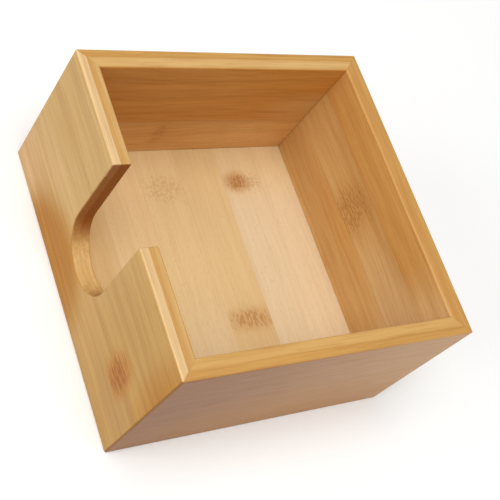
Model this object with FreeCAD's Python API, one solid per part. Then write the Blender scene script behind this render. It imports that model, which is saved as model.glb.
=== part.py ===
import FreeCAD, Part
import math
import os

# Open square box of laminated bamboo for folded napkins or tissues, with a deep
# finger notch in its front wall. A wall is two plies of bamboo strips, glued edge
# to edge and face to face and mitred at the corners. The floor is a panel of
# strips that sits in a groove round the inside.
# Millimetres, origin at the middle of the foot, +Z up, the notch faces -Y.

# The box
BOX_WIDTH = 150.0  # outside, along X
BOX_DEPTH = 150.0  # outside, along Y
BOX_HEIGHT = 80.0  # from the foot to the rim

# Bamboo strips and the plies they make
WALL_STRIPS = 3  # whole strips in the height of an outer ply
TOP_STRIP = 9.5  # the ripped strip above them
FLOOR_STRIPS = 6  # whole strips in the floor panel
JOINT_STAGGER = 9.5  # how far an inner ply's joints lie under the outer ply's
OUTER_PLY = 4.0  # thickness of a wall's outer ply
INNER_PLY = 5.0  # thickness of a wall's inner ply

# Finger notch, straight sides over a half round
NOTCH_WIDTH = 37.0
SILL_UNDER_JOINT = 1.5  # how far it reaches below the outer ply's lowest joint

# Floor panel and its groove
FLOOR_THICKNESS = 6.0
FLOOR_RISE = 5.0  # from the foot to the panel's underside
GROOVE_BACKING = 0.8  # inner ply left behind the groove
GROOVE_PLAY = 0.2  # room beside and above the panel in the groove

# Sanded arrises
RIM_EASE = 1.0  # rim, both sides, and the outer foot
CORNER_EASE = 1.5  # upright outer corners
NOTCH_EASE = 0.8  # all round the notch
NOTCH_EASE_LIMIT = 0.8  # largest share of the rim's radius that the notch's can have

# Modelling values
BEYOND = 5.0  # how far a cutting tool reaches past what it cuts
NEAR = 0.001  # distance under which two places are the same

# Worked out from the above
WALL = OUTER_PLY + INNER_PLY
WALL_STRIP = (BOX_HEIGHT - TOP_STRIP) / WALL_STRIPS
GROOVE_DEPTH = INNER_PLY - GROOVE_BACKING
NOTCH_RADIUS = NOTCH_WIDTH / 2
NOTCH_SILL = WALL_STRIP - SILL_UNDER_JOINT  # height of the wall left under the notch
NOTCH_SPRING = NOTCH_SILL + NOTCH_RADIUS  # height where the half round meets the sides
PANEL_WIDTH = BOX_WIDTH - 2 * (WALL - GROOVE_DEPTH + GROOVE_PLAY)
PANEL_DEPTH = BOX_DEPTH - 2 * (WALL - GROOVE_DEPTH + GROOVE_PLAY)
FLOOR_STRIP = PANEL_DEPTH / FLOOR_STRIPS

# Each wall: its name, its length, how far its outer face is from the middle, and
# the turn about Z that takes it there from the front
WALLS = (
    ("front", BOX_WIDTH, BOX_DEPTH / 2, 0),
    ("right", BOX_DEPTH, BOX_WIDTH / 2, 90),
    ("back", BOX_WIDTH, BOX_DEPTH / 2, 180),
    ("left", BOX_DEPTH, BOX_WIDTH / 2, 270),
)


def point(x, y, z):
    return FreeCAD.Vector(x, y, z)


def block(x_span, y_span, z_span):
    """Block between two values along each axis."""
    sides = [high - low for low, high in (x_span, y_span, z_span)]
    return Part.makeBox(*sides, point(x_span[0], y_span[0], z_span[0]))


def prism(outline, path):
    """Solid that a closed outline of edges sweeps along a straight path."""
    return Part.Face(Part.Wire(outline)).extrude(path)


def eased_bar(length, offset):
    """Wall before its corners are cut, with the rim and the outer foot rounded."""
    half = length / 2
    bar = block((-half, half), (-offset, WALL - offset), (0, BOX_HEIGHT))
    arrises = ((-offset, BOX_HEIGHT), (WALL - offset, BOX_HEIGHT), (-offset, 0))
    chosen = []
    for edge in bar.Edges:
        middle = edge.CenterOfMass
        if any(math.hypot(middle.y - y, middle.z - z) < NEAR for y, z in arrises):
            chosen.append(edge)
    return bar.makeFillet(RIM_EASE, chosen)


def mitre_wedge(length, offset):
    """Space that a wall fills between its two 45 degree corner cuts."""
    half = length / 2
    corners = [
        point(-half, -offset, 0),
        point(half, -offset, 0),
        point(half - WALL, WALL - offset, 0),
        point(WALL - half, WALL - offset, 0),
        point(-half, -offset, 0),
    ]
    return prism(Part.makePolygon(corners).Edges, point(0, 0, BOX_HEIGHT))


def rounded_upright(length, offset):
    """Block as long as the wall, its two upright outer corners rounded."""
    half = length / 2
    body = block((-half, half), (-offset, offset), (0, BOX_HEIGHT))
    chosen = []
    for edge in body.Edges:
        middle = edge.CenterOfMass
        if abs(abs(middle.x) - half) < NEAR and abs(middle.y + offset) < NEAR:
            chosen.append(edge)
    return body.makeFillet(CORNER_EASE, chosen)


def floor_groove(length, offset):
    """Groove that holds the floor panel, run through to the corners."""
    inner_face = WALL - offset
    panel_top = FLOOR_RISE + FLOOR_THICKNESS
    return block(
        (-length / 2, length / 2),
        (inner_face - GROOVE_DEPTH, inner_face + BEYOND),
        (FLOOR_RISE, panel_top + GROOVE_PLAY),
    )


def notch_tool(offset):
    """Upright sides over a half round, cut square through the front wall."""
    y = -offset - BEYOND
    top = BOX_HEIGHT + BEYOND
    left_top = point(-NOTCH_RADIUS, y, top)
    left_spring = point(-NOTCH_RADIUS, y, NOTCH_SPRING)
    lowest = point(0, y, NOTCH_SILL)
    right_spring = point(NOTCH_RADIUS, y, NOTCH_SPRING)
    right_top = point(NOTCH_RADIUS, y, top)
    outline = [
        Part.makeLine(left_top, left_spring),
        Part.Arc(left_spring, lowest, right_spring).toShape(),
        Part.makeLine(right_spring, right_top),
        Part.makeLine(right_top, left_top),
    ]
    return prism(outline, point(0, WALL + 2 * BEYOND, 0))


def cut_notch(wall, offset):
    """Cuts the finger notch and rounds its arrises on both faces and at the rim."""
    tool = notch_tool(offset)
    notched = wall.cut(tool)
    skin = Part.Shell(tool.Faces)
    chosen = []
    for edge in notched.Edges:
        middle = edge.valueAt((edge.FirstParameter + edge.LastParameter) / 2)
        on_tool = skin.distToShape(Part.Vertex(middle))[0] < NEAR
        across = abs(edge.tangentAt(edge.FirstParameter).y) > 1 - NEAR
        below_rim = middle.z < BOX_HEIGHT - NEAR
        if on_tool and not (across and below_rim):
            chosen.append(edge)
    return notched.makeFillet(min(NOTCH_EASE, NOTCH_EASE_LIMIT * RIM_EASE), chosen)


def whole_wall(name, length, offset):
    """One wall in the front's place, before it is parted into plies and strips."""
    wall = eased_bar(length, offset).cut(floor_groove(length, offset))
    if name == "front":
        wall = cut_notch(wall, offset)
    return wall.common(mitre_wedge(length, offset)).common(rounded_upright(length, offset))


def strip_spans(stagger):
    """Low and high edge of each strip of a ply, from the foot up."""
    joints = [WALL_STRIP * number - stagger for number in range(1, WALL_STRIPS + 1)]
    heights = [0.0, *joints, BOX_HEIGHT]
    return list(zip(heights, heights[1:]))


def wall_strips(name, length, offset, turn):
    """Every strip of one wall in its place, by node name."""
    wall = whole_wall(name, length, offset)
    plies = (
        ("outer", (-offset, OUTER_PLY - offset), 0.0),
        ("inner", (OUTER_PLY - offset, WALL - offset), JOINT_STAGGER),
    )
    strips = {}
    for ply, y_span, stagger in plies:
        for number, z_span in enumerate(strip_spans(stagger), 1):
            strip = wall.common(block((-length, length), y_span, z_span))
            strip.rotate(point(0, 0, 0), point(0, 0, 1), turn)
            node = f"{name}_wall_{ply}_strip_{number}"
            strips.update(name_solids(node, strip.Solids))
    return strips


def name_solids(node, solids):
    """One name for a whole strip, left and right names for one that the notch parts."""
    if len(solids) == 1:
        return {node: solids[0]}
    left, right = sorted(solids, key=lambda solid: solid.CenterOfMass.x)
    return {f"{node}_left": left, f"{node}_right": right}


def floor_strips():
    """Strips of the floor panel, which run along X and lie side by side along Y."""
    half = PANEL_WIDTH / 2
    heights = (FLOOR_RISE, FLOOR_RISE + FLOOR_THICKNESS)
    strips = {}
    for number in range(FLOOR_STRIPS):
        front = number * FLOOR_STRIP - PANEL_DEPTH / 2
        y_span = (front, front + FLOOR_STRIP)
        strips[f"floor_strip_{number + 1}"] = block((-half, half), y_span, heights)
    return strips


def all_strips():
    """Every strip of the box by node name."""
    strips = floor_strips()
    for wall in WALLS:
        strips.update(wall_strips(*wall))
    return strips


os.makedirs("parts", exist_ok=True)
for node, shape in all_strips().items():
    shape.exportStep(f"parts/{node}.step")
    print(f"{node}: {shape.Volume / 1000:.2f} cm3")
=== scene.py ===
import math
import random
from dataclasses import dataclass

import bpy
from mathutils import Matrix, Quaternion, Vector


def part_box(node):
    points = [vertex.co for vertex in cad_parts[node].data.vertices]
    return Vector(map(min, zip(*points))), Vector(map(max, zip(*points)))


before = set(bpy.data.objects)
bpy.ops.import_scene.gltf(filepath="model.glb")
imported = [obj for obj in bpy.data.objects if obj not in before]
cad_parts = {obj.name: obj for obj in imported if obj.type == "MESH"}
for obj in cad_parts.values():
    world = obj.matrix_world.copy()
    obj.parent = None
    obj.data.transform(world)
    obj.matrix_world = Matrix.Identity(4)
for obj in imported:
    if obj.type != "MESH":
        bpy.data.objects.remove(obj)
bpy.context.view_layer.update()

# Looks of an open square box of laminated bamboo, seen from above and from the right
# of its finger notch. The strips are the frame's own solids. Each gets a bamboo of its
# own: tone, growth bands, fibres, pores, node marks, end grain and glue lines.
# Metres in Blender, millimetres where a comment says so.

bl_info = {
    "name": "Bamboo napkin box",
    "version": (1, 0, 0),
    "blender": (4, 5, 0),
    "location": "3D View > Sidebar > Bamboo box",
    "description": "Finishes the strips of a laminated bamboo box and lights it on a pale floor",
    "category": "Object",
}

MM = 0.001


def linear(hex_colour):
    """Linear red, green and blue of an sRGB hex colour, by the sRGB curve."""
    channels = [int(hex_colour[start : start + 2], 16) / 255 for start in (1, 3, 5)]
    return [c / 12.92 if c <= 0.04045 else ((c + 0.055) / 1.055) ** 2.4 for c in channels]


def colour_property(name, description, hex_colour):
    """Colour that a user can change, given as sRGB hex."""
    return bpy.props.FloatVectorProperty(
        name=name,
        description=description,
        default=linear(hex_colour),
        size=3,
        min=0.0,
        max=1.0,
        subtype="COLOR",
    )


def length_property(name, description, millimetres):
    """Length that a user can change, given in millimetres."""
    return bpy.props.FloatProperty(
        name=name,
        description=description,
        default=millimetres * MM,
        min=0.0,
        subtype="DISTANCE",
        unit="LENGTH",
    )


def share_property(name, description, share):
    """Share from nothing to all that a user can change."""
    return bpy.props.FloatProperty(
        name=name, description=description, default=share, min=0.0, max=1.0, subtype="FACTOR"
    )


def power_property(name, description, watts):
    """Power of a lamp that a user can change."""
    return bpy.props.FloatProperty(
        name=name, description=description, default=watts, min=0.0, unit="POWER"
    )


class BambooTones(bpy.types.PropertyGroup):
    """Tones that the strips are sorted into, and those of the marks in them."""

    cream: colour_property("Cream", "Palest strips of the floor", "#DFC8A2")
    straw: colour_property("Straw", "Pale yellow strips of the floor", "#E1C18E")
    maize: colour_property("Maize", "Yellow strips of the floor", "#DCBE8B")
    rose: colour_property("Rose", "Strips with a pink cast", "#D6AE80")
    flax: colour_property("Flax", "Strips of the front's outer ply", "#C5A163")
    sand: colour_property("Sand", "Browner ends of the front's outer ply", "#BA924F")
    # On the right wall's outer ply, mushroom's grey cast is a painted sheen.
    mushroom: colour_property("Mushroom", "Strips with a grey cast", "#CFA16F")
    # Smoke is also painted shade at the near end of the right wall's outer ply, leaving its far end
    # paler as a painted sheen.
    smoke: colour_property("Smoke", "Grey brown end of the right wall", "#976742")
    honey: colour_property("Honey", "Golden strips", "#DEB474")
    amber: colour_property("Amber", "Deeper golden strips", "#D6A25B")
    copper: colour_property("Copper", "Lower strips of the left wall's inner ply", "#E7B776")
    russet: colour_property("Russet", "Upper strips of the left wall's inner ply", "#D99A4B")
    # Blond also paints a sheen at the right end of the back wall's inner ply.
    blond: colour_property("Blond", "Palest edges along the rim, and pale ends", "#E5C592")
    gold: colour_property("Gold", "Golden edges along the rim and in the notch", "#D9B272")
    wheat: colour_property("Wheat", "Dull golden edges along the rim", "#D3A763")
    oak: colour_property("Oak", "Browner edges along the rim", "#CD9A58")
    toffee: colour_property("Toffee", "Darkest edges along the rim", "#CC9C56")
    # Caramel also paints the shadow low on the front's outer ply, left of the notch.
    caramel: colour_property("Caramel", "Stain of a strip steamed too long", "#AE7408")
    skin: colour_property("Skin", "Dense fibres next to the culm's skin", "#BC8340")
    node: colour_property("Node", "Haze of the node marks", "#AE6A00")
    soaked: colour_property("Soaked", "End grain, which drinks the lacquer", "#8E4802")
    # Glue's tone also paints shade down the corners.
    glue: colour_property("Glue", "Hardened glue in the joints", "#875810")


class BambooGrain(bpy.types.PropertyGroup):
    """Sizes of the grain and the joints, and the lacquer over them.

    Real fibre bundles are about half a millimetre wide, and pores and glue lines less.
    All are drawn coarser, so that they show in the render.
    """

    band_width: length_property("Band width", "Width of one growth band", 5.0)
    band_length: length_property("Band length", "Length of one growth band", 220.0)
    fibre_width: length_property("Fibre width", "Width of one fibre bundle", 1.0)
    fibre_length: length_property("Fibre length", "Length over which a bundle shows", 24.0)
    pore_width: length_property("Pore width", "Width of one open pore", 0.6)
    pore_length: length_property("Pore length", "Length of one open pore", 2.6)
    bundle_size: length_property("Bundle size", "Space between bundles in the end grain", 0.9)
    joint_width: length_property("Joint width", "Width of a glued joint's line", 0.4)
    mitre_width: length_property("Mitre width", "Width of a mitre's line", 1.7)
    lacquer_roughness: share_property("Lacquer roughness", "Roughness of the satin lacquer", 0.42)


class Studio(bpy.types.PropertyGroup):
    """Floor, light and camera."""

    floor_colour: colour_property("Floor colour", "Paper that the box stands on", "#FAFAF9")
    floor_size: length_property("Floor size", "Side of the floor", 8000.0)
    key_power: power_property("Key power", "Softbox overhead", 62.0)
    key_size: length_property("Key size", "Side of the softbox", 2000.0)
    fill_power: power_property("Fill power", "White board low in front of the box", 13.0)
    fill_size: length_property("Fill size", "Side of the white board", 1200.0)
    surround: share_property("Surround", "Brightness of the studio's white walls", 0.35)
    lens: bpy.props.FloatProperty(
        name="Lens",
        description="Focal length in millimetres",
        default=77.6,
        subtype="DISTANCE_CAMERA",
    )
    roll: bpy.props.FloatProperty(
        name="Roll",
        description="Turn of the camera about its line of sight",
        default=math.radians(45.031),
        subtype="ANGLE",
    )


# How wide the soft edge of a mark or patch is, as a share of its size
SOFT_EDGE = 0.6


@dataclass
class NodeMark:
    """Where a node of the culm crosses a strip, an oval. Lengths in millimetres.

    The reach is along the grain and the spread is across it. Each brown dash is as
    long as given. The haze is the soft brown under the dashes.
    """

    along: float
    across: float
    reach: float
    spread: float
    dash: float
    darkness: float
    haze: float


@dataclass
class Patch:
    """Part of a strip with a tone of its own, an oval. Lengths in millimetres.

    The reach is along the grain and the spread is across it. The blur is how wide the
    soft edge is, as a share of the oval's size.
    """

    tone: str
    along: float
    across: float
    reach: float
    spread: float
    strength: float
    blur: float = SOFT_EDGE


@dataclass
class Panel:
    """How the strips of one ply, or of the floor, were picked, and how strongly grain shows.

    The tones run from the foot up, or from the front back. The rim is the tone of the
    last strip's narrow sides, and skin is how strongly the dense fibres show there.
    """

    tones: tuple
    rim: str
    bands: float = 0.5
    fibres: float = 0.4
    pores: float = 0.15
    joints: float = 0.2
    skin: float = 0.15


PANELS = {
    "floor": Panel(
        ("maize", "straw", "maize", "maize", "cream", "cream"),
        "straw", bands=0.25, fibres=0.2, pores=0.2, joints=0.12,
    ),
    "front_wall_outer": Panel(("flax",) * 4, "blond", bands=0.8, fibres=0.3),
    "front_wall_inner": Panel(("amber",) * 4, "gold", skin=0.6),
    # The right wall's outer ply is all mushroom, whose grey cast paints its sheen.
    "right_wall_outer": Panel(("mushroom",) * 4, "toffee", bands=0.25, fibres=0.2),
    "right_wall_inner": Panel(("amber", "honey", "amber", "honey"), "wheat", skin=0.1),
    "back_wall_outer": Panel(("honey", "rose", "honey", "gold"), "toffee"),
    "back_wall_inner": Panel(("honey", "honey", "honey", "amber"), "oak", fibres=0.55, skin=0.5),
    "left_wall_outer": Panel(("rose", "mushroom", "rose", "rose"), "toffee"),
    "left_wall_inner": Panel(("copper", "copper", "russet", "russet"), "gold", fibres=0.6),
}

# Node marks of strips that the photograph shows
SEEN_MARKS = {
    "floor_strip_3": (NodeMark(-44, -11, reach=9, spread=15, dash=1.2, darkness=0.3, haze=0.02),),
    "floor_strip_4": (NodeMark(28.5, 12, reach=6, spread=16, dash=2.6, darkness=0.5, haze=0.27),),
    "floor_strip_5": (
        NodeMark(-46, 31.5, reach=6, spread=7, dash=2.6, darkness=0.42, haze=0.5),
        NodeMark(-45.5, 36, reach=6, spread=13, dash=1.4, darkness=0.42, haze=0.08),
    ),
    "back_wall_inner_strip_3": (
        NodeMark(-8, 44.5, reach=14, spread=18, dash=3.2, darkness=0.44, haze=0.26),
    ),
    "left_wall_inner_strip_2": (
        NodeMark(-14, 27, reach=4.5, spread=11, dash=2.4, darkness=0.36, haze=0.05),
    ),
    "front_wall_outer_strip_2_right": (
        NodeMark(53, 33.5, reach=9, spread=13, dash=5.0, darkness=0.72, haze=0.74),
    ),
}

# Strips that the photograph shows without a node mark
CLEAR_STRIPS = (
    "floor_strip_1",
    "floor_strip_2",
    "floor_strip_6",
    "back_wall_inner_strip_2",
    "back_wall_inner_strip_4",
    "left_wall_inner_strip_3",
    "left_wall_inner_strip_4",
    "front_wall_outer_strip_1",
    "front_wall_outer_strip_2_left",
    "front_wall_outer_strip_3_left",
    "front_wall_outer_strip_3_right",
    "front_wall_outer_strip_4_left",
    "front_wall_outer_strip_4_right",
    "right_wall_outer_strip_1",
    "right_wall_outer_strip_2",
    "right_wall_outer_strip_3",
    "right_wall_outer_strip_4",
)

# Patches that run over more than one strip
# Painted shadow: a caramel oval at the foot of the front's outer ply, left of the notch's middle.
LOW_LEFT_PAINTED_SHADOW = Patch("caramel", -14, 0, reach=37, spread=31, strength=1.0, blur=0.27)
LEFT_END = Patch("sand", -57, 54, reach=17, spread=20, strength=0.4)
RIGHT_END = Patch("sand", 60, 40, reach=50, spread=80, strength=1.0)
RIGHT_CORNER = Patch("caramel", 78, 62, reach=15, spread=30, strength=0.8)
# Painted shade and sheen: the right wall's outer ply darker grey brown at its near end, paler
# towards its far end.
NEAR_END_PAINTED_SHADE = Patch("smoke", -90, 40, reach=110, spread=160, strength=1.0, blur=0.9)
# Painted shade: the lower strips of the right wall's outer ply warmer and darker, with less of the
# painted sheen's grey.
LOW_SIDE = Patch("skin", 25, 0, reach=85, spread=40, strength=0.65, blur=0.8)
RIGHT_FOOT = Patch("smoke", 62, 22, reach=22, spread=12, strength=0.22)
PANEL_END = Patch("maize", -70, 40, reach=30, spread=90, strength=0.7)
# Painted sheen: a blond oval up the right end of the back wall's inner ply.
BACK_CORNER_PAINTED_SHEEN = Patch("blond", 70, 52, reach=26, spread=34, strength=0.8)

# Patches of each strip, the first lowest
PATCHES = {
    # Painted shade: the floor's front strip more golden along the front wall's foot.
    "floor_strip_1": (Patch("honey", -20, -62, reach=50, spread=16, strength=0.5),),
    "floor_strip_3": (Patch("cream", 55, -12, reach=36, spread=24, strength=0.5),),
    "floor_strip_4": (
        Patch("caramel", 31, 14, reach=13, spread=16, strength=0.1),
        Patch("flax", -66, 12, reach=16, spread=20, strength=0.12),
    ),
    "floor_strip_5": (PANEL_END,),
    "floor_strip_6": (PANEL_END,),
    "front_wall_outer_strip_1": (
        Patch("rose", -72, 8, reach=24, spread=18, strength=0.6),
        LOW_LEFT_PAINTED_SHADOW,
        RIGHT_END,
        RIGHT_FOOT,
    ),
    "front_wall_outer_strip_2_left": (
        Patch("rose", -52, 34, reach=22, spread=12, strength=0.25),
        LEFT_END,
        LOW_LEFT_PAINTED_SHADOW,
    ),
    "front_wall_outer_strip_2_right": (RIGHT_END, RIGHT_FOOT, RIGHT_CORNER),
    "front_wall_outer_strip_3_left": (LEFT_END,),
    "front_wall_outer_strip_3_right": (RIGHT_END, RIGHT_CORNER),
    "front_wall_outer_strip_4_right": (RIGHT_END, RIGHT_CORNER),
    "right_wall_outer_strip_1": (NEAR_END_PAINTED_SHADE, LOW_SIDE),
    "right_wall_outer_strip_2": (NEAR_END_PAINTED_SHADE, LOW_SIDE),
    "right_wall_outer_strip_3": (NEAR_END_PAINTED_SHADE,),
    "right_wall_outer_strip_4": (NEAR_END_PAINTED_SHADE,),
    "back_wall_inner_strip_2": (
        Patch("russet", -10, 33, reach=34, spread=8, strength=0.4),
        Patch("skin", -28, 26, reach=50, spread=20, strength=0.22),
        BACK_CORNER_PAINTED_SHEEN,
    ),
    "back_wall_inner_strip_3": (
        Patch("blond", 37, 46, reach=24, spread=15, strength=0.6),
        Patch("skin", -10, 59, reach=60, spread=6, strength=0.4),
        BACK_CORNER_PAINTED_SHEEN,
    ),
    "back_wall_inner_strip_4": (
        Patch("skin", -20, 65, reach=60, spread=5, strength=0.2),
        BACK_CORNER_PAINTED_SHEEN,
    ),
    "left_wall_inner_strip_2": (
        Patch("russet", -18, 24, reach=28, spread=16, strength=0.4),
        Patch("skin", 0, 37, reach=80, spread=5, strength=0.35),
    ),
    "left_wall_inner_strip_3": (Patch("blond", 64, 47, reach=24, spread=14, strength=0.4),),
}


@dataclass
class Strip:
    """One strip: its node, its place in its panel, and which axis is which for it.

    Its lowest and highest corners are along, across and through it, in millimetres.
    """

    node: str
    panel: str
    level: int
    along: int
    across: int
    through: int
    low: list
    high: list

    def ply(self):
        """Which ply it is in, or the floor."""
        return self.panel.split("_")[-1]

    def skin_side(self):
        """Where the side next to the culm's skin is: at the other ply, or under the floor."""
        faces = (self.low[2], self.high[2])
        if self.panel == "floor":
            return faces[0]
        return min(faces, key=abs) if self.ply() == "outer" else max(faces, key=abs)

    def pith_side(self):
        """The side opposite the skin."""
        return self.low[2] + self.high[2] - self.skin_side()

    def glued_edges(self):
        """Heights, or for the floor depths, of its joints with the strips beside it."""
        edges = []
        if self.level > 1:
            edges.append(self.low[1])
        if self.level < len(PANELS[self.panel].tones):
            edges.append(self.high[1])
        return edges


def read_strip(node):
    """What a node's name says about its strip. The grain runs along the wall, or along X."""
    words = node.split("_")
    level = int(words[words.index("strip") + 1])
    panel = "_".join(words[: words.index("strip")])
    along, across, through = (1, 2, 0) if words[0] in ("left", "right") else (0, 2, 1)
    if panel == "floor":
        across, through = through, across
    low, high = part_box(node)
    return Strip(
        node, panel, level, along, across, through,
        [low[axis] / MM for axis in (along, across, through)],
        [high[axis] / MM for axis in (along, across, through)],
    )


# The other strips get a node mark by chance, or none. Lengths in millimetres, and the least
# and the most where there are two values.
UNMARKED_SHARE = 0.5
MARK_FROM_END = 12
MARK_REACH = 5.0
MARK_SPREAD = 11.0
MARK_DASH = (1.8, 5.0)
MARK_DARKNESS = (0.3, 0.6)
MARK_HAZE = 0.1


def strip_marks(strip, chance):
    """The strip's node marks: where the photograph shows them, or else by chance."""
    if strip.node in SEEN_MARKS:
        return SEEN_MARKS[strip.node]
    if strip.node in CLEAR_STRIPS or chance.random() < UNMARKED_SHARE:
        return ()
    along = chance.uniform(strip.low[0] + MARK_FROM_END, strip.high[0] - MARK_FROM_END)
    across = (strip.low[1] + strip.high[1]) / 2
    dash = chance.uniform(*MARK_DASH)
    darkness = chance.uniform(*MARK_DARKNESS)
    return (NodeMark(along, across, MARK_REACH, MARK_SPREAD, dash, darkness, MARK_HAZE),)


def empty_material(name):
    """Material with no nodes in it yet."""
    material = bpy.data.materials.new(name)
    material.use_nodes = True
    material.node_tree.nodes.clear()
    return material


def add(tree, kind, inputs=None, out=0, **settings):
    """Adds a node with its settings, sets or links its inputs, and gives one of its outputs."""
    made = tree.nodes.new(kind)
    for key, value in settings.items():
        setattr(made, key, value)
    for key, value in (inputs or {}).items():
        if isinstance(value, bpy.types.NodeSocket):
            tree.links.new(value, made.inputs[key])
        else:
            made.inputs[key].default_value = value
    return made.outputs[out] if made.outputs else None


@dataclass
class Streaks:
    """How noise that is drawn out along the grain becomes streaks.

    They begin at one value of the noise and are full at another. The depth is how much
    light they take out of the colour, and the detail is how many finer waves they have.
    """

    begin: float
    full: float
    depth: float = 0.0
    detail: float = 2.0


# How strong each finer wave of the noise is beside the one before it
NOISE_ROUGHNESS = 0.55


def streak_share(tree, place, length, width, streaks):
    """Noise drawn out along the grain, as a share of streaks. Lengths in millimetres."""
    scale = (1 / length, 1 / width, 1 / width)
    drawn = add(tree, "ShaderNodeVectorMath", {0: place, 1: scale}, operation="MULTIPLY")
    noise = {"Vector": drawn, "Scale": 1.0, "Detail": streaks.detail, "Roughness": NOISE_ROUGHNESS}
    value = add(tree, "ShaderNodeTexNoise", noise)
    limits = {"Value": value, "From Min": streaks.begin, "From Max": streaks.full}
    return add(tree, "ShaderNodeMapRange", limits, interpolation_type="SMOOTHSTEP")


def lay_over(tree, colour, tint, share, strength, blend="MIX"):
    """The colour with a tint over it, as strong as the share says, times the strength.

    A Mix node has its colours in inputs 6 and 7 and the mixed one in output 2.
    """
    part = add(tree, "ShaderNodeMath", {0: share, 1: strength}, operation="MULTIPLY")
    pair = [c if isinstance(c, bpy.types.NodeSocket) else (*c, 1.0) for c in (colour, tint)]
    inputs = {0: part, 6: pair[0], 7: pair[1]}
    return add(tree, "ShaderNodeMix", inputs, out=2, data_type="RGBA", blend_type=blend)


def place_in_strip(tree, strip):
    """Object coordinates in millimetres as along, across and through the strip."""
    coordinates = add(tree, "ShaderNodeTexCoord", out="Object")
    parts = {}
    for number, axis in enumerate((strip.along, strip.across, strip.through)):
        parts[number] = add(tree, "ShaderNodeSeparateXYZ", {0: coordinates}, out=axis)
    metres = add(tree, "ShaderNodeCombineXYZ", parts)
    scale = (1 / MM, 1 / MM, 1 / MM)
    return add(tree, "ShaderNodeVectorMath", {0: metres, 1: scale}, operation="MULTIPLY")


# How the fibres sway: the length and the width of a sway, and how far it goes aside, in
# millimetres
SWAY_LENGTH = 70.0
SWAY_WIDTH = 24.0
SWAY_ASIDE = 3.0
SWAY = Streaks(0.2, 0.8, detail=1.0)

# Each strip's noise is moved along, across and through by its own seed times these
# millimetres, so that no two strips are alike
SEEDS = (1, 9)
SEED_SHIFT = (61.7, 23.9, 11.3)


def swayed(tree, place, seed):
    """The same place, moved by the strip's seed and swayed, so that fibres aren't dead straight."""
    shift = [seed * part for part in SEED_SHIFT]
    moved = add(tree, "ShaderNodeVectorMath", {0: place, 1: shift}, operation="ADD")
    wander = streak_share(tree, moved, SWAY_LENGTH, SWAY_WIDTH, SWAY)
    aside = add(tree, "ShaderNodeMath", {0: wander, 1: SWAY_ASIDE}, operation="MULTIPLY")
    sway = add(tree, "ShaderNodeCombineXYZ", {1: aside})
    return add(tree, "ShaderNodeVectorMath", {0: moved, 1: sway}, operation="ADD")


# Where a mark or patch is half as strong, as a share of the way from its middle to its edge
OVAL_EDGE = 0.9


def oval(tree, place, spot, blur=SOFT_EDGE):
    """One in the middle of a mark or patch, falling off to nothing round its edge."""
    middle = (spot.along, spot.across, 0)
    centred = add(tree, "ShaderNodeVectorMath", {0: place, 1: middle}, operation="SUBTRACT")
    flat = {0: centred, 1: (1 / spot.reach, 1 / spot.spread, 0)}
    unit = add(tree, "ShaderNodeVectorMath", flat, operation="MULTIPLY")
    distance = add(tree, "ShaderNodeVectorMath", {0: unit}, out="Value", operation="LENGTH")
    limits = {"Value": distance, "From Min": OVAL_EDGE + blur, "From Max": OVAL_EDGE - blur}
    return add(tree, "ShaderNodeMapRange", limits, interpolation_type="SMOOTHSTEP")


def facing(tree, axis, nothing, full):
    """Share that goes from nothing to one between two amounts of facing along an axis."""
    normal = add(tree, "ShaderNodeNewGeometry", out="Normal")
    part = add(tree, "ShaderNodeSeparateXYZ", {0: normal}, out=axis)
    amount = add(tree, "ShaderNodeMath", {0: part}, operation="ABSOLUTE")
    limits = {"Value": amount, "From Min": nothing, "From Max": full}
    return add(tree, "ShaderNodeMapRange", limits, interpolation_type="SMOOTHSTEP")


# How much of a shade's depth is taken out of red, green and blue
SHADE_PARTS = (0.5, 0.75, 1.0)


def shade(depth):
    """What the colour is multiplied by to take light out of it, blue most and red least."""
    return [1 - depth * part for part in SHADE_PARTS]


GROWTH_BANDS = Streaks(0.3, 0.7, depth=0.36)
FIBRE_LINES = Streaks(0.4, 0.75, depth=0.4)
OPEN_PORES = Streaks(0.58, 0.75, depth=0.75, detail=1.0)


def with_grain(tree, colour, fibres, grain, band_width, strengths):
    """Bamboo cut along its fibres: growth bands, lines of fibre bundles and open pores."""
    kinds = (
        (GROWTH_BANDS, grain.band_length / MM, band_width),
        (FIBRE_LINES, grain.fibre_length / MM, grain.fibre_width / MM),
        (OPEN_PORES, grain.pore_length / MM, grain.pore_width / MM),
    )
    for (streaks, length, width), strength in zip(kinds, strengths):
        share = streak_share(tree, fibres, length, width, streaks)
        colour = lay_over(tree, colour, shade(streaks.depth), share, strength, "MULTIPLY")
    return colour


# Dashes of a node mark: their width in millimetres, how much they crowd in its middle, and
# where they begin and are full, as noise and crowding together
DASH_WIDTH = 0.95
DASH_CROWDING = 0.34
DASH_BEGIN = 0.72
DASH_FULL = 0.92
DASH_NOISE = Streaks(0.0, 1.0, depth=0.8, detail=1.0)


def with_node_mark(tree, colour, place, fibres, mark, tones):
    """Brown dashes over a soft haze, dense in the middle of the mark and scattered at its edge."""
    body = oval(tree, place, mark)
    colour = lay_over(tree, colour, tones.node, body, mark.haze)
    noise = streak_share(tree, fibres, mark.dash, DASH_WIDTH, DASH_NOISE)
    crowd = {0: body, 1: DASH_CROWDING, 2: noise}
    fill = add(tree, "ShaderNodeMath", crowd, operation="MULTIPLY_ADD")
    limits = {"Value": fill, "From Min": DASH_BEGIN, "From Max": DASH_FULL}
    dashes = add(tree, "ShaderNodeMapRange", limits, interpolation_type="SMOOTHSTEP")
    inside = add(tree, "ShaderNodeMath", {0: dashes, 1: body}, operation="MULTIPLY")
    return lay_over(tree, colour, shade(DASH_NOISE.depth), inside, mark.darkness, "MULTIPLY")


# Narrow sides of the strips: the width of their growth bands in millimetres, and how
# strongly those, the lines of fibres and the pores show
EDGE_BAND_WIDTH = 1.8
EDGE_STRENGTHS = (0.65, 0.6, 0.1)

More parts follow.
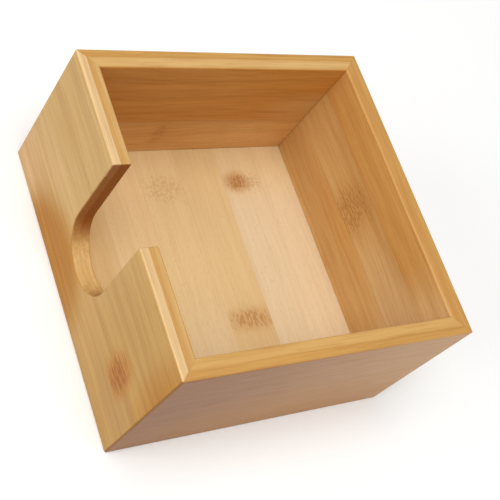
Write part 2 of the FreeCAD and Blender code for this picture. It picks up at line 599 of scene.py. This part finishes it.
# Narrow sides that show in the notch: their tone, and how strongly the dense fibres show
NOTCH_TONE = "gold"
NOTCH_SKIN = 0.1

# How far a face may be turned to the strip's broad side and still show the narrow side's
# tone, and from where it shows it in full: along the rim, and in the notch
RIM_TURN = (0.9, 0.45)
NOTCH_TURN = (0.5, 0.1)


def with_edge(tree, colour, strip, place, fibres, panel, tones, grain):
    """The strip's narrow side, where fibres lie closer and darker towards the culm's skin."""
    at_rim = strip.level == len(panel.tones)
    tone = getattr(tones, panel.rim if at_rim else NOTCH_TONE)
    edge = with_grain(tree, tone, fibres, grain, EDGE_BAND_WIDTH, EDGE_STRENGTHS)
    through = add(tree, "ShaderNodeSeparateXYZ", {0: place}, out=2)
    limits = {"Value": through, "From Min": strip.pith_side(), "From Max": strip.skin_side()}
    skin = add(tree, "ShaderNodeMapRange", limits, interpolation_type="SMOOTHERSTEP")
    edge = lay_over(tree, edge, tones.skin, skin, panel.skin if at_rim else NOTCH_SKIN)
    turned = facing(tree, strip.through, *(RIM_TURN if at_rim else NOTCH_TURN))
    return lay_over(tree, colour, edge, turned, 1.0)


# Fibre bundles in the end grain: how far from its middle a bundle ends and is full, as a
# share of the space between two, and how dark it is
BUNDLE_END = 0.45
BUNDLE_FULL = 0.15
BUNDLE_DEPTH = 0.5
BUNDLE_STRENGTH = 0.5

# How far a face has to be turned to the ends of the fibres to show end grain, and from
# where it would show it in full. More than one is never reached.
END_TURN = {"outer": (0.4, 1.2), "inner": (0.5, 1.05), "floor": (0.5, 1.05)}


def with_end_grain(tree, colour, strip, place, tones, grain):
    """Ends of the fibre bundles, dark dots in a soaked ground, on faces that cut across them."""
    cells = {"Vector": place, "Scale": MM / grain.bundle_size}
    away = add(tree, "ShaderNodeTexVoronoi", cells)
    limits = {"Value": away, "From Min": BUNDLE_END, "From Max": BUNDLE_FULL}
    dots = add(tree, "ShaderNodeMapRange", limits, interpolation_type="SMOOTHSTEP")
    ends = lay_over(tree, tones.soaked, shade(BUNDLE_DEPTH), dots, BUNDLE_STRENGTH, "MULTIPLY")
    turned = facing(tree, strip.along, *END_TURN[strip.ply()])
    return lay_over(tree, colour, ends, turned, 1.0)


# The share of a line's width that shows it in full
LINE_CORE = 0.25


def line_at(tree, coordinate, value, width):
    """One on a thin line where a coordinate has the value, with soft sides."""
    away = add(tree, "ShaderNodeMath", {0: coordinate, 1: value}, operation="SUBTRACT")
    distance = add(tree, "ShaderNodeMath", {0: away}, operation="ABSOLUTE")
    limits = {"Value": distance, "From Min": width / 2, "From Max": LINE_CORE * width / 2}
    return add(tree, "ShaderNodeMapRange", limits, interpolation_type="SMOOTHSTEP")


# How far a face has to be turned to the strip's broad side to show its joints with the
# strips beside it, and from where it shows them in full
BROAD_TURN = (0.5, 0.9)


def with_joints(tree, colour, strip, place, panel, tones, grain):
    """Thin lines of glue on the strip's broad sides, at the strips beside it."""
    across = add(tree, "ShaderNodeSeparateXYZ", {0: place}, out=1)
    broad = facing(tree, strip.through, *BROAD_TURN)
    for edge in strip.glued_edges():
        line = line_at(tree, across, edge, grain.joint_width / MM)
        joint = add(tree, "ShaderNodeMath", {0: line, 1: broad}, operation="MULTIPLY")
        colour = lay_over(tree, colour, tones.glue, joint, panel.joints)
    return colour


# How strongly the glue shows between the plies and in the mitres, and how dark the line down
# the corners is, on faces turned little to the strip's narrow side. That corner line is
# partly glue and partly painted shade.
PLY_LINE = 0.1
MITRE_LINE = 0.1
CORNER_GLUE_AND_SHADE = {"outer": 0.9, "inner": 0.15}
UPRIGHT_TURN = (0.7, 0.3)


def with_wall_glue(tree, colour, strip, place, tones, grain):
    """Thin lines of glue at the wall's other ply and in its mitres, and a darker line down the
    corners, partly glue and partly painted shade.
    """
    along = add(tree, "ShaderNodeSeparateXYZ", {0: place}, out=0)
    through = add(tree, "ShaderNodeSeparateXYZ", {0: place}, out=2)
    joint = line_at(tree, through, strip.skin_side(), grain.joint_width / MM)
    colour = lay_over(tree, colour, tones.glue, joint, PLY_LINE)
    sizes = {}
    for number, part in enumerate((along, through)):
        sizes[number] = add(tree, "ShaderNodeMath", {0: part}, operation="ABSOLUTE")
    off = add(tree, "ShaderNodeMath", sizes, operation="SUBTRACT")
    mitre = line_at(tree, off, 0.0, grain.mitre_width / MM)
    colour = lay_over(tree, colour, tones.glue, mitre, MITRE_LINE)
    # Darker line down the corners: partly glue, partly painted shade.
    upright = facing(tree, strip.across, *UPRIGHT_TURN)
    corner = add(tree, "ShaderNodeMath", {0: mitre, 1: upright}, operation="MULTIPLY")
    return lay_over(tree, colour, tones.glue, corner, CORNER_GLUE_AND_SHADE[strip.ply()])


# Fibres that stand in the lacquer: their height in millimetres, how strongly it shows, and
# how much rougher they are than the lacquer between them
RAISED_FIBRES = Streaks(0.3, 0.7)
FIBRE_HEIGHT = 0.08
FIBRE_RELIEF = 0.25
FIBRE_ROUGHNESS = 0.12


def satin_lacquer(tree, colour, fibres, grain):
    """Clear satin lacquer, sprayed thin: a broad soft gloss, in which the fibres still stand."""
    length = grain.fibre_length / MM
    width = grain.fibre_width / MM
    stand = streak_share(tree, fibres, length, width, RAISED_FIBRES)
    relief = {"Height": stand, "Strength": FIBRE_RELIEF, "Distance": FIBRE_HEIGHT * MM}
    smooth = grain.lacquer_roughness
    gloss = {"Value": stand, "To Min": smooth, "To Max": smooth + FIBRE_ROUGHNESS}
    inputs = {
        "Base Color": colour,
        "Roughness": add(tree, "ShaderNodeMapRange", gloss),
        "Normal": add(tree, "ShaderNodeBump", relief),
        "IOR": 1.5,
        "Specular IOR Level": 0.2,
        "Coat Weight": 0.08,
        "Coat Roughness": 0.3,
    }
    shader = add(tree, "ShaderNodeBsdfPrincipled", inputs)
    add(tree, "ShaderNodeOutputMaterial", {"Surface": shader})


def laminated_bamboo(strip, tones, grain):
    """Laminated bamboo, steamed and planed, sanded and sprayed with clear satin lacquer.

    It gives the eye pale gold with fine straight fibres, brown dashes where a node
    crosses the strip, dotted end grain, and a broad soft gloss.
    """
    material = empty_material(f"laminated_bamboo_{strip.node}")
    tree = material.node_tree
    chance = random.Random(strip.node)
    panel = PANELS[strip.panel]
    place = place_in_strip(tree, strip)
    fibres = swayed(tree, place, chance.uniform(*SEEDS))

    colour = getattr(tones, panel.tones[strip.level - 1])
    for patch in PATCHES.get(strip.node, ()):
        area = oval(tree, place, patch, patch.blur)
        colour = lay_over(tree, colour, getattr(tones, patch.tone), area, patch.strength)
    strengths = (panel.bands, panel.fibres, panel.pores)
    colour = with_grain(tree, colour, fibres, grain, grain.band_width / MM, strengths)
    for mark in strip_marks(strip, chance):
        colour = with_node_mark(tree, colour, place, fibres, mark, tones)
    colour = with_edge(tree, colour, strip, place, fibres, panel, tones, grain)
    colour = with_end_grain(tree, colour, strip, place, tones, grain)
    colour = with_joints(tree, colour, strip, place, panel, tones, grain)
    if strip.panel != "floor":
        colour = with_wall_glue(tree, colour, strip, place, tones, grain)
    satin_lacquer(tree, colour, fibres, grain)
    return material


def finish_strips(panel_word, scene):
    """Gives every strip whose panel's name holds the word its own bamboo."""
    for node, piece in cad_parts.items():
        strip = read_strip(node)
        if panel_word not in strip.panel:
            continue
        material = laminated_bamboo(strip, scene.bamboo_tones, scene.bamboo_grain)
        piece.data.materials.clear()
        piece.data.materials.append(material)


class BAMBOO_OT_floor_panel(bpy.types.Operator):
    """Finishes the six strips of the floor panel"""

    bl_idname = "bamboo.floor_panel"
    bl_label = "Floor panel"

    def execute(self, context):
        finish_strips("floor", context.scene)
        return {"FINISHED"}


class BAMBOO_OT_outer_plies(bpy.types.Operator):
    """Finishes the strips of the four walls' outer plies"""

    bl_idname = "bamboo.outer_plies"
    bl_label = "Outer plies"

    def execute(self, context):
        finish_strips("outer", context.scene)
        return {"FINISHED"}


class BAMBOO_OT_inner_plies(bpy.types.Operator):
    """Finishes the strips of the four walls' inner plies"""

    bl_idname = "bamboo.inner_plies"
    bl_label = "Inner plies"

    def execute(self, context):
        finish_strips("inner", context.scene)
        return {"FINISHED"}


def seamless_paper(colour):
    """Matt white paper, pressed smooth. It gives the eye a pale even ground."""
    material = empty_material("seamless_paper")
    inputs = {"Base Color": (*colour, 1.0), "Roughness": 0.9, "Specular IOR Level": 0.1}
    shader = add(material.node_tree, "ShaderNodeBsdfPrincipled", inputs)
    add(material.node_tree, "ShaderNodeOutputMaterial", {"Surface": shader})
    return material


def lay_floor(scene, studio):
    """Flat square of paper that the box stands on."""
    half = studio.floor_size / 2
    corners = [(-half, -half, 0), (half, -half, 0), (half, half, 0), (-half, half, 0)]
    mesh = bpy.data.meshes.new("floor_paper")
    mesh.from_pydata(corners, [], [(0, 1, 2, 3)])
    mesh.materials.append(seamless_paper(studio.floor_colour))
    floor = bpy.data.objects.new("floor_paper", mesh)
    scene.collection.objects.link(floor)


# Where the lights hang, in metres from the middle of the box's foot
SOFTBOX_PLACE = 2.8 * Vector((0.08, -0.20, 0.97)).normalized()
WHITE_BOARD_PLACE = 2.0 * Vector((-0.02, -0.93, 0.36)).normalized()


def hang_light(scene, name, place, size, power):
    """Square soft light that faces the box."""
    light = bpy.data.lights.new(name, "AREA")
    light.shape = "SQUARE"
    light.size = size
    light.energy = power
    lamp = bpy.data.objects.new(name, light)
    lamp.location = place
    lamp.rotation_euler = place.to_track_quat("Z", "Y").to_euler()
    scene.collection.objects.link(lamp)


def white_walls(scene, studio):
    """Even light from all round, as from white walls, and plain display colours."""
    world = bpy.data.worlds.new("white_studio")
    world.use_nodes = True
    ground = world.node_tree.nodes["Background"]
    ground.inputs["Color"].default_value = (1.0, 1.0, 1.0, 1.0)
    ground.inputs["Strength"].default_value = studio.surround
    scene.world = world
    scene.view_settings.view_transform = "Standard"


# Camera of the photograph, from its vanishing points and the box's corners: its place and
# what it aims at, in metres, and the width of its sensor, in millimetres
CAMERA_PLACE = Vector((0.17579, -0.27041, 0.41241))
CAMERA_AIM = Vector((0.0060, 0.00388, 0.040))
SENSOR_WIDTH = 36.0


def place_camera(scene, studio):
    """Camera at the photograph's place, rolled as the photograph is."""
    lens = bpy.data.cameras.new("photo_camera")
    lens.sensor_width = SENSOR_WIDTH
    lens.lens = studio.lens
    camera = bpy.data.objects.new("photo_camera", lens)
    camera.location = CAMERA_PLACE
    upright = (CAMERA_AIM - CAMERA_PLACE).to_track_quat("-Z", "Y")
    camera.rotation_mode = "QUATERNION"
    camera.rotation_quaternion = upright @ Quaternion((0, 0, 1), studio.roll)
    scene.collection.objects.link(camera)
    scene.camera = camera


class BAMBOO_OT_stage(bpy.types.Operator):
    """Lays the pale floor, sets the lights and sets up the camera"""

    bl_idname = "bamboo.stage"
    bl_label = "Stage"

    def execute(self, context):
        scene = context.scene
        studio = scene.studio
        lay_floor(scene, studio)
        hang_light(scene, "softbox", SOFTBOX_PLACE, studio.key_size, studio.key_power)
        hang_light(scene, "white_board", WHITE_BOARD_PLACE, studio.fill_size, studio.fill_power)
        white_walls(scene, studio)
        place_camera(scene, studio)
        return {"FINISHED"}


GROUPS = {"bamboo_tones": BambooTones, "bamboo_grain": BambooGrain, "studio": Studio}
STEPS = (
    BAMBOO_OT_floor_panel,
    BAMBOO_OT_outer_plies,
    BAMBOO_OT_inner_plies,
    BAMBOO_OT_stage,
)


class BAMBOO_PT_box(bpy.types.Panel):
    """Lists the operators and what they can be given"""

    bl_idname = "BAMBOO_PT_box"
    bl_label = "Bamboo box"
    bl_space_type = "VIEW_3D"
    bl_region_type = "UI"
    bl_category = "Bamboo box"

    def draw(self, context):
        for step in STEPS:
            self.layout.operator(step.bl_idname)
        for group, kind in GROUPS.items():
            box = self.layout.box()
            for name in kind.__annotations__:
                box.prop(getattr(context.scene, group), name)


def register():
    """Adds the property groups, the operators and the panel."""
    for name, group in GROUPS.items():
        bpy.utils.register_class(group)
        setattr(bpy.types.Scene, name, bpy.props.PointerProperty(type=group))
    for step in (*STEPS, BAMBOO_PT_box):
        bpy.utils.register_class(step)


def unregister():
    """Takes them away again, the last one first."""
    for step in (BAMBOO_PT_box, *reversed(STEPS)):
        bpy.utils.unregister_class(step)
    for name, group in reversed(GROUPS.items()):
        delattr(bpy.types.Scene, name)
        bpy.utils.unregister_class(group)


def main():
    """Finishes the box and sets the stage."""
    register()
    bpy.ops.bamboo.floor_panel()
    bpy.ops.bamboo.outer_plies()
    bpy.ops.bamboo.inner_plies()
    bpy.ops.bamboo.stage()


if __name__ == "__main__":
    main()
